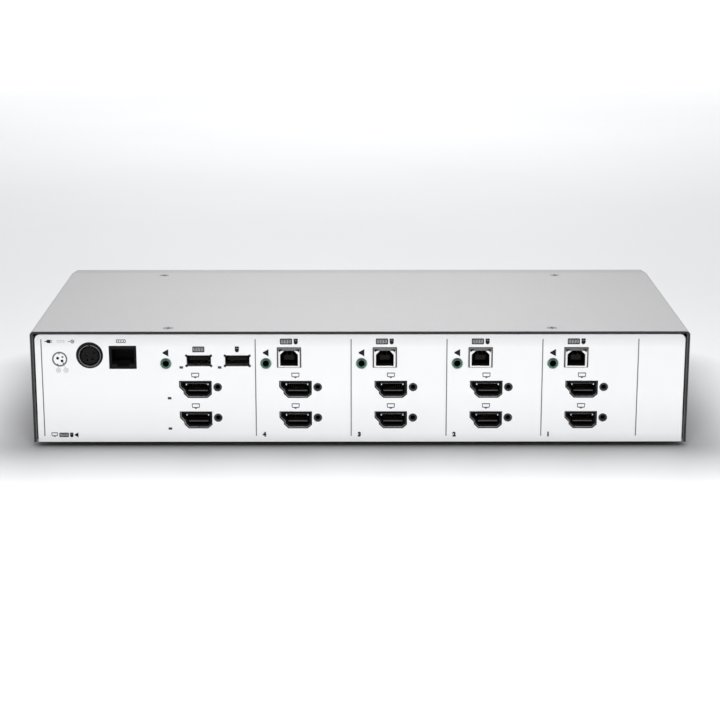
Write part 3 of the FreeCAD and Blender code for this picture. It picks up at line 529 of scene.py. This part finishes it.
def spacer_brass():
    """Turned brass bar, slightly tarnished."""
    brass = (0.72, 0.52, 0.22)
    finish = Finish("spacer_brass", brass, 0.32, 1.0)
    finish.tint(finish.ramp(finish.noise(3, 4), 0.45, 0.75, 0, 0.7), (0.5, 0.34, 0.15))
    finish.rough(finish.noise(0.5, 3, (1, 1, 0.1)), 0.26, 0.44)
    return finish.relief(finish.noise(0.4, 3, (0.2, 0.2, 1)), 0.006)


def ribbon_grey():
    """Flat cable: side-by-side wires, the first one marked red."""
    grey = (0.42, 0.43, 0.45)
    finish = Finish("ribbon_grey", grey, 0.5)
    wires = finish.bands(1.27, "X")
    # painted shade: darker in the valleys between the wires
    finish.tint(finish.ramp(wires, 0.25, 0.05), shade(grey, 0.55))
    for low, _ in split_boxes("ribbon_cables"):
        finish.tint(finish.beside("X", low.x + 0.5, 0.7, 0.5), (0.5, 0.03, 0.025))
    finish.rough(finish.noise(1.5, 3), 0.42, 0.6)
    return finish.relief(wires, 0.25)


def ink(name, colour):
    """Screen-printed ink, thin enough in places to let a little of the paint through."""
    finish = Finish(name, colour, 0.5).set(specular_ior_level=0.15)
    finish.tint(finish.ramp(finish.noise(0.5, 3), 0.5, 0.8, 0, 0.5), shade(colour, 1.5))
    finish.rough(finish.noise(0.6, 3), 0.44, 0.6)
    return finish.relief(finish.noise(0.2, 2), 0.003)


# ---- flat shapes, in millimetres, as loops of (x, z) points ----

def rectangle(x, z, width, height):
    a = width / 2
    b = height / 2
    return [(x - a, z - b), (x + a, z - b), (x + a, z + b), (x - a, z + b)]


def round_rectangle(x, z, width, height, corner, steps=4):
    points = []
    for i, (sx, sz) in enumerate(((1, -1), (1, 1), (-1, 1), (-1, -1))):
        cx = x + sx * (width / 2 - corner)
        cz = z + sz * (height / 2 - corner)
        for k in range(steps + 1):
            angle = math.radians(-90 + 90 * i + 90 * k / steps)
            points.append((cx + corner * math.cos(angle), cz + corner * math.sin(angle)))
    return points


def circle(x, z, radius, steps=24):
    return [(x + radius * math.cos(2 * math.pi * k / steps), z + radius * math.sin(2 * math.pi * k / steps))
            for k in range(steps)]


def bar(start, end, width):
    """A straight line of the given width, as a thin rectangle."""
    along = Vector(end) - Vector(start)
    across = Vector((-along.y, along.x)).normalized() * width / 2
    return [tuple(Vector(start) - across), tuple(Vector(end) - across),
            tuple(Vector(end) + across), tuple(Vector(start) + across)]


def shifted(shapes, x, z, size=1.0, flip=1):
    """Icon shapes moved to (x, z). flip is -1 on the control side, where +X is to the viewer's left."""
    def moved(loop):
        return loop and [(x + flip * size * a, z + size * b) for a, b in loop]
    return [(moved(outer), moved(inner)) for outer, inner in shapes]


# ---- icons: lists of (outer loop, inner loop or None) about their own centre ----

def keyboard_icon():
    """A frame with two rows of six keys, and four keys beside a space bar under them."""
    frame_line = (round_rectangle(0, 0, 6.3, 3.1, 0.45), round_rectangle(0, 0, 5.1, 1.9, 0.1))
    key_width = 0.69
    places = [0.82 * (i - 2.5) for i in range(6)]
    low_row = -0.59
    keys = [(rectangle(x, z, key_width, 0.5), None) for x in places for z in (0.62, 0.02)]
    last_row = [(rectangle(x, low_row, key_width, 0.48), None) for x in places[:2] + places[-2:]]
    return [frame_line] + keys + last_row + [(rectangle(0, low_row, 1.5, 0.4), None)]


def mouse_icon():
    """A body with a round end, and two buttons above it."""
    half = 1.06
    top = 0.38
    bend = -0.5
    body = [(-half, top), (-half, bend)]
    body += [(half * math.cos(a), bend + half * math.sin(a))
             for a in (math.pi + math.pi * k / 10 for k in range(1, 10))]
    body += [(half, bend), (half, top)]
    return [(body, None)] + [(rectangle(x, 0.98, 1.04, 1.06), None) for x in (-0.54, 0.54)]


def screen_icon():
    """A screen with bowed sides on a small stand."""
    outer = [(-2.05, 1.45), (-2.08, 0.3), (-1.85, -0.95), (1.85, -0.95), (2.08, 0.3), (2.05, 1.45)]
    inner = [(-1.66, 0.97), (-1.68, 0.3), (-1.5, -0.5), (1.5, -0.5), (1.68, 0.3), (1.66, 0.97)]
    return [(outer, inner), ([(-0.9, -0.95), (0, -1.6), (0.9, -0.95)], None)]


def speaker_icon():
    """A cone that opens to the right of a small square back."""
    cone = [(-1.35, -0.35), (-0.85, -0.55), (1.3, -1.75), (1.3, 1.75), (-0.85, 0.55), (-1.35, 0.35)]
    return [(cone, None)]


def remote_icon():
    """A handset with three keys."""
    case = (round_rectangle(0, 0, 5.2, 1.9, 0.5), round_rectangle(0, 0, 4.5, 1.2, 0.3))
    return [case] + [(rectangle(-1.3 + 1.3 * i, 0, 0.62, 0.62), None) for i in range(3)]


def plug_icon():
    """A barrel with two prongs and a tail."""
    return [([(-0.8, -0.85), (0.7, -0.85), (0.7, 0.85), (-0.8, 0.85), (-1.5, 0.3), (-1.5, -0.3)], None),
            (rectangle(1.15, 0.42, 0.9, 0.32), None), (rectangle(1.15, -0.42, 0.9, 0.32), None),
            (rectangle(-1.95, 0, 0.9, 0.34), None)]


def direct_current_icon():
    """A line over three dashes."""
    dashes = [(rectangle(-1.65 + 1.65 * i, -0.42, 1.15, 0.36), None) for i in range(3)]
    return [(rectangle(0, 0.42, 4.5, 0.36), None)] + dashes


def socket_icon():
    """A round socket with a centre contact."""
    return [(circle(0, 0, 0.95), circle(0, 0, 0.62)), (circle(0, 0, 0.3, 12), None),
            (rectangle(-1.75, 0, 1.0, 0.32), None)]


# ---- solid pieces ----

def carry(bm, outer, inner, y0, y1):
    """A loop, or a ring between two loops of as many points, carried from y0 to y1 as a closed solid."""
    def lay(loop, y):
        return [bm.verts.new((x, y, z)) for x, z in loop]

    def wall(front, back):
        for i in range(len(front)):
            k = (i + 1) % len(front)
            bm.faces.new((front[i], front[k], back[k], back[i]))
    front = lay(outer, y0)
    back = lay(outer, y1)
    wall(front, back)
    if inner is None:
        bm.faces.new(front)
        bm.faces.new(back)
        return
    inner_front = lay(inner, y0)
    inner_back = lay(inner, y1)
    wall(inner_front, inner_back)
    wall(front, inner_front)
    wall(back, inner_back)


def block(bm, low, high):
    """A block between two corners."""
    outline = [(low[0], low[2]), (high[0], low[2]), (high[0], high[2]), (low[0], high[2])]
    carry(bm, outline, None, low[1], high[1])


def piece(name, finish, build, body="root"):
    """An object of the given finish, which rides on a body. build(bm) draws it in millimetres."""
    bm = bmesh.new()
    build(bm)
    bmesh.ops.recalc_face_normals(bm, faces=bm.faces)
    bmesh.ops.scale(bm, vec=(MM, MM, MM), verts=bm.verts)
    mesh = bpy.data.meshes.new(name)
    bm.to_mesh(mesh)
    bm.free()
    mesh.materials.append(finish.material)
    made = bpy.data.objects.new(name, mesh)
    bpy.context.scene.collection.objects.link(made)
    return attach(made, body)


INK_THICKNESS = 0.04
TYPE_SIZE = 1.37  # gives digits of height 1


def printed(name, finish, shapes, face=PANEL_FACE, outward=-1):
    """Icon shapes as ink on a face. outward is the face's direction along Y."""
    def build(bm):
        for outer, inner in shapes:
            carry(bm, outer, inner, face, face + outward * INK_THICKNESS)
    return piece(name, finish, build)


def numerals(name, finish, places, height, face, outward, weight):
    """Digits in Blender's own plain typeface, stood upright on a face. weight is how far their outline is
    let out, as a share of the height."""
    def build(bm):
        for digit, x, z in places:
            words = bpy.data.curves.new(name, "FONT")
            words.body = digit
            words.align_x = "CENTER"
            words.size = TYPE_SIZE * height
            words.offset = weight * height
            words.extrude = INK_THICKNESS / 2
            carrier = bpy.data.objects.new(name, words)
            mesh = bpy.data.meshes.new_from_object(carrier)
            bpy.data.objects.remove(carrier)
            start = len(bm.verts)
            bm.from_mesh(mesh)
            bpy.data.meshes.remove(mesh)
            bm.verts.ensure_lookup_table()
            for v in bm.verts[start:]:
                v.co = Vector((x - outward * v.co.x, face + outward * (INK_THICKNESS / 2 + v.co.z),
                               z + v.co.y))
        bmesh.ops.remove_doubles(bm, verts=bm.verts, dist=0.0005)
    return piece(name, finish, build)


# ---- printed marks on the port panel ----

def print_panel(inks):
    """Everything that is printed on the port panel."""
    print_divider_lines(inks["grey"])
    print_socket_icons(inks["dark"], inks["icons"])
    print_group_numerals(inks["dark"])
    network = mount("network_jack")
    printed("print_remote_icon", inks["dark"],
            shifted(remote_icon(), network.x - 0.7, CASE_LOW_Z + 54.1, 0.95))
    print_power_marks(inks["dark"], inks["pale"])
    print_pin_diagram(inks)
    print_desk_icons(inks["dark"])


def print_divider_lines(ink_finish):
    """A line at the left of each group, after the last group and at the panel's left end."""
    line_width = 0.54
    low = CASE_LOW_Z + 3.2
    high = CASE_LOW_Z + 55.2
    places = group_lefts() + [PANEL_LOW.x + 3.3]
    printed("print_divider_lines", ink_finish,
            [(rectangle(x, (low + high) / 2, line_width, high - low), None) for x in places])


def print_socket_icons(dark, paler):
    """Pictograms above the sockets."""
    speakers = []
    screens = []
    for name in COLUMNS:
        jack = mount(f"audio_jack_{name}")
        speakers += shifted(speaker_icon(), jack.x, jack.z + 5.7, 1.1)
        for level in LEVELS:
            video = mount(f"video_{name}_{level}")
            screens += shifted(screen_icon(), video.x, video.z + 7.5)
    printed("print_speaker_icons", dark, speakers)
    printed("print_screen_icons", paler, screens)
    above_usb_b = 8.5
    above_usb_a = 6.1
    keyboards = []
    mice = []
    for c in CHANNELS:
        usb = mount(f"usb_b_{c}")
        keyboards += shifted(keyboard_icon(), usb.x - 1.5, usb.z + above_usb_b)
        mice += shifted(mouse_icon(), usb.x + 3.5, usb.z + above_usb_b)
    usb = mount("usb_a_keyboard")
    keyboards += shifted(keyboard_icon(), usb.x - 0.1, usb.z + above_usb_a, 0.98)
    usb = mount("usb_a_mouse")
    mice += shifted(mouse_icon(), usb.x - 0.1, usb.z + above_usb_a)
    printed("print_keyboard_icons", dark, keyboards)
    printed("print_mouse_icons", dark, mice)


def print_group_numerals(dark):
    """The number of each computer, at the foot of its group. The narrow 1 stands a little to the left."""
    line_to_middle = 4.25
    shift_of_one = 0.45
    foot = CASE_LOW_Z + 3.0
    height = 2.25
    weight = 0.11
    middles = [x + line_to_middle for x in group_lefts()]
    middles[CHANNELS.index(1)] -= shift_of_one
    places = [(str(c), x, foot) for c, x in zip(CHANNELS, middles)]
    numerals("print_group_numerals", dark, places, height, PANEL_FACE, -1, weight)


def print_desk_icons(dark):
    """A row of pictograms in the lower left corner: what the desk's sockets carry."""
    left = PANEL_LOW.x + 6.4
    z = CASE_LOW_Z + 3.8
    row = shifted(screen_icon(), left + 2.0, z + 0.15, 0.8)
    row += shifted(keyboard_icon(), left + 6.9, z, 0.78)
    row += shifted(mouse_icon(), left + 10.9, z, 0.82)
    row += shifted(speaker_icon(), left + 13.4, z, 0.75)
    printed("print_desk_icons", dark, row)


def print_power_marks(dark, pale):
    """A direct-current mark above the pin diagram, between a plug and a socket."""
    apart = 6.0
    x = mount("power_inlet").x - 14.6
    z = CASE_LOW_Z + 54.0
    printed("print_power_icons", dark,
            shifted(plug_icon(), x - apart, z) + shifted(socket_icon(), x + apart, z))
    printed("print_current_mark", pale, shifted(direct_current_icon(), x, z, 0.9))


def print_pin_diagram(inks):
    """The inlet's face as a ring with its pins, and leaders down to a minus and a plus in small discs."""
    x = mount("power_inlet").x - 15.46
    z = CASE_LOW_Z + 44.6
    printed("print_pin_ring", inks["grey"], [(circle(x, z, 3.95, 40), circle(x, z, 3.15, 40)),
                                             (rectangle(x - 1.2, z - 2.8, 0.9, 0.6), None),
                                             (rectangle(x - 0.3, z + 2.8, 0.6, 0.6), None)])
    printed("print_pin_dots", inks["dark"], [(circle(x - 1.05, z + 0.5, 0.75, 16), None),
                                             (circle(x + 1.45, z + 1.15, 0.5, 12), None),
                                             (circle(x + 1.2, z - 0.95, 0.75, 16), None),
                                             (bar((x + 1.58, z - 1.7), (x + 2.1, z - 2.8), 0.4), None)])
    disc = 1.05
    rim = 1.3
    leader = 0.25
    minus = (x - 0.8, z - 5.9)
    plus = (x + 3.05, z - 5.9)
    discs = [(circle(*centre, disc), None) for centre in (minus, plus)]
    printed("print_polarity_discs", inks["faint"], discs)
    marks = [(circle(*centre, rim), circle(*centre, disc)) for centre in (minus, plus)]
    marks += [(bar((minus[0], z - 3.95), (minus[0], minus[1] + rim), leader), None),
              (bar((x + 2.4, z - 3.3), (plus[0] - 0.3, plus[1] + 1.25), leader), None)]
    printed("print_polarity_marks", inks["pale"], marks)
    stroke = 0.3
    signs = [(rectangle(*centre, 1.1, stroke), None) for centre in (minus, plus)]
    signs += [(rectangle(minus[0], minus[1] + rise, stroke, 0.4), None) for rise in (-0.35, 0.35)]
    printed("print_polarity_signs", inks["pale"], signs, PANEL_FACE - INK_THICKNESS)


# ---- printed marks on the bezel ----

def print_bezel(dark):
    """A number under each channel button, and what the mode button switches under it."""
    height = 3.8
    weight = 0.04
    places = []
    for c in CHANNELS:
        low, high = node_box(f"channel_{c}_button")
        places.append((str(c), (low.x + high.x) / 2, low.z - 5.2))
    numerals("print_button_numerals", dark, places, height, BEZEL_FACE, 1, weight)
    low, high = node_box("mode_button")
    x = (low.x + high.x) / 2
    z = low.z - 3.4
    shapes = shifted(keyboard_icon(), x + 5.2, z, 0.95, -1)
    shapes += shifted(screen_icon(), x - 1.0, z, 0.95, -1)
    shapes += shifted(speaker_icon(), x - 6.4, z, 0.9, -1)
    printed("print_mode_icons", dark, shapes, BEZEL_FACE, 1)


# ---- contacts in the sockets ----

def contacts(name, gold, mounts, strips, width, depths):
    """Flat strips on the tongues of the sockets at these mounts. A strip is x and its lowest and highest z
    from the mount, and depths are those of its two ends behind it."""
    def build(bm):
        for place in mounts:
            at = mount(place)
            for x, (z0, z1) in strips:
                block(bm, (at.x + x - width / 2, at.y + depths[0], at.z + z0),
                      (at.x + x + width / 2, at.y + depths[1], at.z + z1))
    piece(name, gold, build)


def contact_pieces(gold):
    """Nineteen contacts in two staggered rows for video, four in a row for USB-A, two by two for USB-B."""
    video = [f"video_{name}_{level}" for name in COLUMNS for level in LEVELS]
    rows = ((-0.65, -0.58), (-1.42, -1.35))
    contacts("video_contacts", gold, video, [(-3.35 + 0.5 * i, rows[i % 2]) for i in range(19)],
             0.44, (6.0, 12.8))
    contacts("usb_a_contacts", gold, ("usb_a_keyboard", "usb_a_mouse"),
             [(x, (-0.2, -0.1)) for x in (-3.5, -1.0, 1.0, 3.5)], 1.0, (2.6, 11.0))
    contacts("usb_b_contacts", gold, [f"usb_b_{c}" for c in CHANNELS],
             [(x, row) for x in (-1.25, 1.25) for row in ((0.75, 0.83), (-1.83, -1.75))], 1.0, (4.5, 11.7))


def power_pins(metal):
    """Sleeves in the four holes of the power inlet. A hole is x and z from the mount, and a radius."""
    at = mount("power_inlet")
    holes = ((-1.6, 0.5, 0.95), (1.5, -1.5, 0.95), (2.2, 1.4, 0.6), (-1.3, -2.4, 0.6))
    clearance = 0.03
    wall = 0.22

    def build(bm):
        for x, z, radius in holes:
            sleeve = radius - clearance
            carry(bm, circle(at.x + x, at.z + z, sleeve), circle(at.x + x, at.z + z, sleeve - wall),
                  at.y + 4.1, at.y + 8.0)
    piece("power_pin_sleeves", metal, build)


LEG_PITCH = 0.8


def chip_legs(metal):
    """Gull-wing legs round each chip, none within one pitch of a corner."""
    def build(bm):
        for low, high in split_boxes("switch_chips"):
            for axis in (0, 1):
                count = int((high[axis] - low[axis] - 2 * LEG_PITCH) / LEG_PITCH)
                for i in range(count):
                    along = (low[axis] + high[axis]) / 2 + (i - (count - 1) / 2) * LEG_PITCH
                    for side in (-1, 1):
                        face = high[1 - axis] if side > 0 else low[1 - axis]
                        leg(bm, along, face, side, axis, low.z, high.z)
    piece("chip_legs", metal, build)


def leg(bm, along, face, side, axis, z0, z1):
    """One bent leg: out of the chip at mid height, down, and flat on the board."""
    half_width = 0.16
    thickness = 0.14
    board = z0 + 0.03
    middle = (z0 + z1) / 2
    steps = ((0, 0.35, middle, middle + thickness),
             (0.25, 0.42, board, middle + thickness),
             (0.3, 0.95, board, board + thickness))
    for near, far, low, high in steps:
        a, b = sorted((face + side * near, face + side * far))
        if axis == 0:
            block(bm, (along - half_width, a, low), (along + half_width, b, high))
        else:
            block(bm, (a, along - half_width, low), (b, along + half_width, high))


# ---- studio ----

def studio_floor():
    """White paper with a painted shadow that darkens it softly towards the foot of the object."""
    painted_shadow_reach = 60 * MM
    finish = Finish("studio_floor", (0.84, 0.84, 0.84), 0.6)
    finish.tint(finish.ramp(finish.noise(300, 3), 0.4, 0.7), (0.82, 0.82, 0.82))
    squares = []
    for axis, half in (("X", PANEL_HIGH.x), ("Y", BEZEL_FACE)):
        outside = finish.maths("SUBTRACT", finish.maths("ABSOLUTE", finish.place(axis), 0), half * MM)
        squares.append(finish.maths("POWER", finish.maths("MAXIMUM", outside, 0), 2))
    distance = finish.maths("SQRT", finish.maths("ADD", *squares), 0)
    # painted contact shadow: darkest at the foot of the object
    return finish.tint(finish.ramp(distance, painted_shadow_reach, 0.0), (0.33, 0.33, 0.33))


# name, place, aim, side in metres, power in watts, spread in degrees
STUDIO_LIGHTS = (
    ("key_light", (0.02, -0.72, 0.72), (0, -0.08, 0.03), 0.4, 5.3, 180),
    ("top_light", (0.0, -0.03, 0.42), (0, -0.02, 0.06), 0.2, 0.6, 180),
    ("left_light", (-1.0, -0.3, 0.5), (0, 0, 0.03), 0.6, 0.12, 180),
    ("right_light", (1.0, -0.3, 0.5), (0, 0, 0.03), 0.6, 0.12, 180),
    ("back_light", (0.0, 1.2, 0.7), (0, 0.05, 0.03), 0.6, 2.2, 180))
FAR_LIGHT_PLACES = ((0, 3), (0, -3.4), (3.4, 0), (-3.4, 0))
FAR_LIGHT_HEIGHT = 2.4
FAR_LIGHT_SETTINGS = (2.5, 38.0, 90)


def studio():
    """A soft pale room: an even background, a paper floor, lights round the object and four far above it."""
    scene = bpy.context.scene
    scene.view_settings.view_transform = "Standard"
    world = bpy.data.worlds.new("studio_world")
    world.use_nodes = True
    background = world.node_tree.nodes["Background"]
    background.inputs["Color"].default_value = (0.96, 0.97, 1.0, 1)
    background.inputs["Strength"].default_value = 0.55
    scene.world = world
    floor_finish = studio_floor()
    bm = bmesh.new()
    bmesh.ops.create_grid(bm, x_segments=1, y_segments=1, size=8)
    mesh = bpy.data.meshes.new("studio_floor")
    bm.to_mesh(mesh)
    bm.free()
    mesh.materials.append(floor_finish.material)
    floor = bpy.data.objects.new("studio_floor", mesh)
    scene.collection.objects.link(floor)
    for settings in STUDIO_LIGHTS:
        light(*settings)
    for i, (x, y) in enumerate(FAR_LIGHT_PLACES):
        light(f"far_light_{i}", (x, y, FAR_LIGHT_HEIGHT), (x, y, 0), *FAR_LIGHT_SETTINGS)


def light(name, place, aim, size, power, spread):
    """A square area light that points at a place."""
    lamp = bpy.data.lights.new(name, "AREA")
    lamp.shape = "SQUARE"
    lamp.size = size
    lamp.energy = power
    lamp.spread = math.radians(spread)
    holder = bpy.data.objects.new(name, lamp)
    holder.location = place
    holder.rotation_euler = (Vector(aim) - Vector(place)).to_track_quat("-Z", "Y").to_euler()
    bpy.context.scene.collection.objects.link(holder)


CAMERA_PLACE = (-0.00265, -1.0236, 0.2910)
CAMERA_DOWN = 14.489
CAMERA_TURN = -0.157
FOCAL_LENGTH = 94.39


def camera():
    """In front of the port panel and above it, looking a little down. The angles are in degrees."""
    data = bpy.data.cameras.new("camera")
    data.sensor_width = 36.0
    data.lens = FOCAL_LENGTH
    data.clip_start = 0.05
    data.clip_end = 50.0
    holder = bpy.data.objects.new("camera", data)
    holder.location = CAMERA_PLACE
    holder.rotation_euler = (math.radians(90 - CAMERA_DOWN), 0, math.radians(CAMERA_TURN))
    bpy.context.scene.collection.objects.link(holder)
    bpy.context.scene.camera = holder


# ---- putting it together ----

FINISH_MAKERS = (
    cover_paint, panel_paint, tray_steel, screw_steel, foot_rubber, bezel_plastic, button_plastic,
    light_plastic, socket_metal, plate_metal, ring_metal, socket_black, nut_black, jack_green, contact_gold,
    board_green, chip_black, fin_aluminium, capacitor_sleeve, spacer_brass, ribbon_grey)
finishes = {make.__name__: make() for make in FINISH_MAKERS}

for subpart in frame["record"]["subparts"]:
    cad = NODES[subpart["node"]]
    cad.data.materials.clear()
    cad.data.materials.append(finishes[subpart["material_slot"]].material)

INK_COLOURS = {
    "dark": (0.01, 0.01, 0.011),
    "icons": (0.075, 0.075, 0.077),
    "grey": (0.145, 0.145, 0.15),
    "pale": (0.445, 0.455, 0.46),
    "faint": (0.7, 0.71, 0.715)}
inks = {name: ink(f"ink_{name}", colour) for name, colour in INK_COLOURS.items()}
print_panel(inks)
print_bezel(inks["dark"])
contact_pieces(finishes["contact_gold"])
power_pins(finishes["socket_metal"])
chip_legs(finishes["socket_metal"])
studio()
camera()
